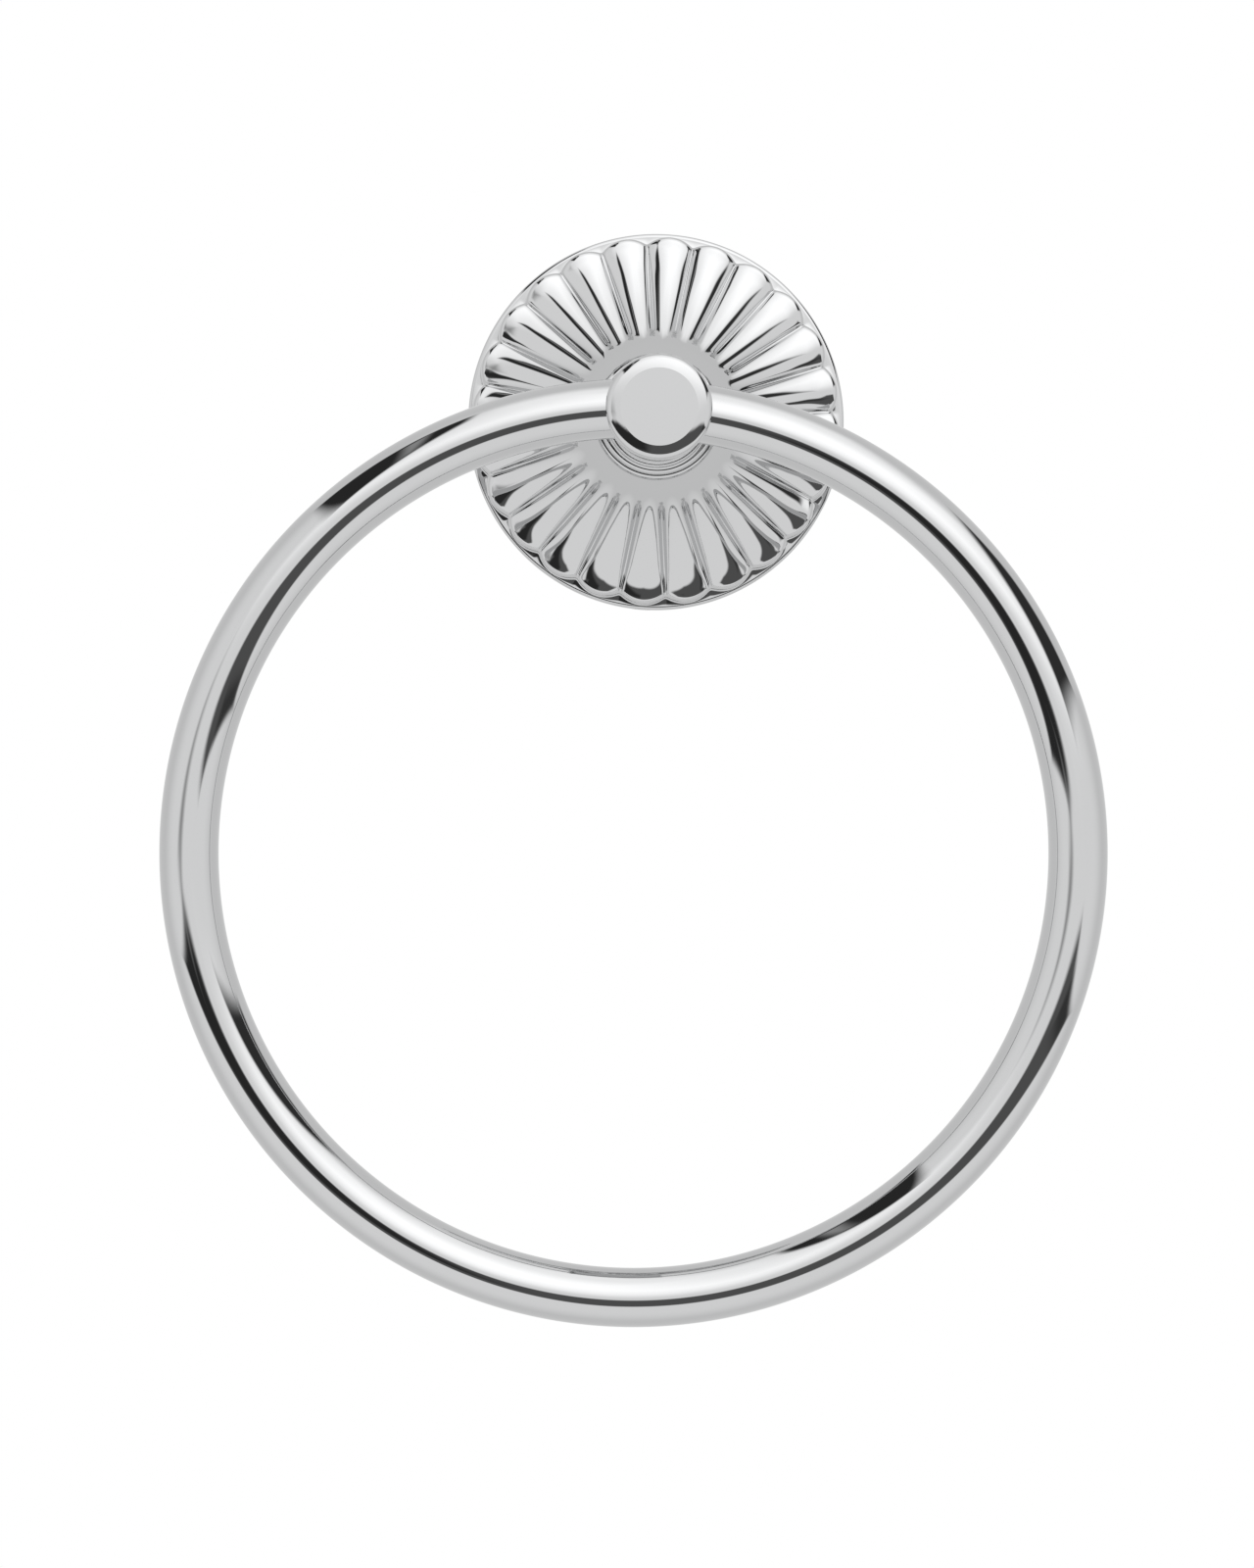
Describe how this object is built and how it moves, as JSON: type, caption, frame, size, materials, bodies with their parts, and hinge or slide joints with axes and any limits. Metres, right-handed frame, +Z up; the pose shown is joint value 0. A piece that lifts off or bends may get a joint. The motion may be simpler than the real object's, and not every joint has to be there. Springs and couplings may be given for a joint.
{
  "type": "towel ring",
  "caption": "Wall towel ring in polished chrome: a lobed round rosette, a turned post standing out of it, and a full round ring that passes through the post near its tip.",
  "frame": {"origin": "centre of the rosette's back, in the wall plane", "axes": "+Z up, +Y into the wall, so the post stands out along -Y; +X to the right for someone who looks at the wall"},
  "size_m": [0.1524, 0.0635, 0.1793],
  "materials": {
    "chrome": "polished",
    "plated_steel": "satin",
    "screw_steel": "satin"
  },
  "bodies": {
    "root": {"rosette": "chrome", "post": "chrome", "ring": "chrome", "wall_bracket": "plated_steel", "post_screw": "screw_steel", "lock_washer": "plated_steel", "flat_washer": "plated_steel", "ring_set_screw": "screw_steel", "rim_set_screw": "screw_steel"}
  },
  "joints": []
}
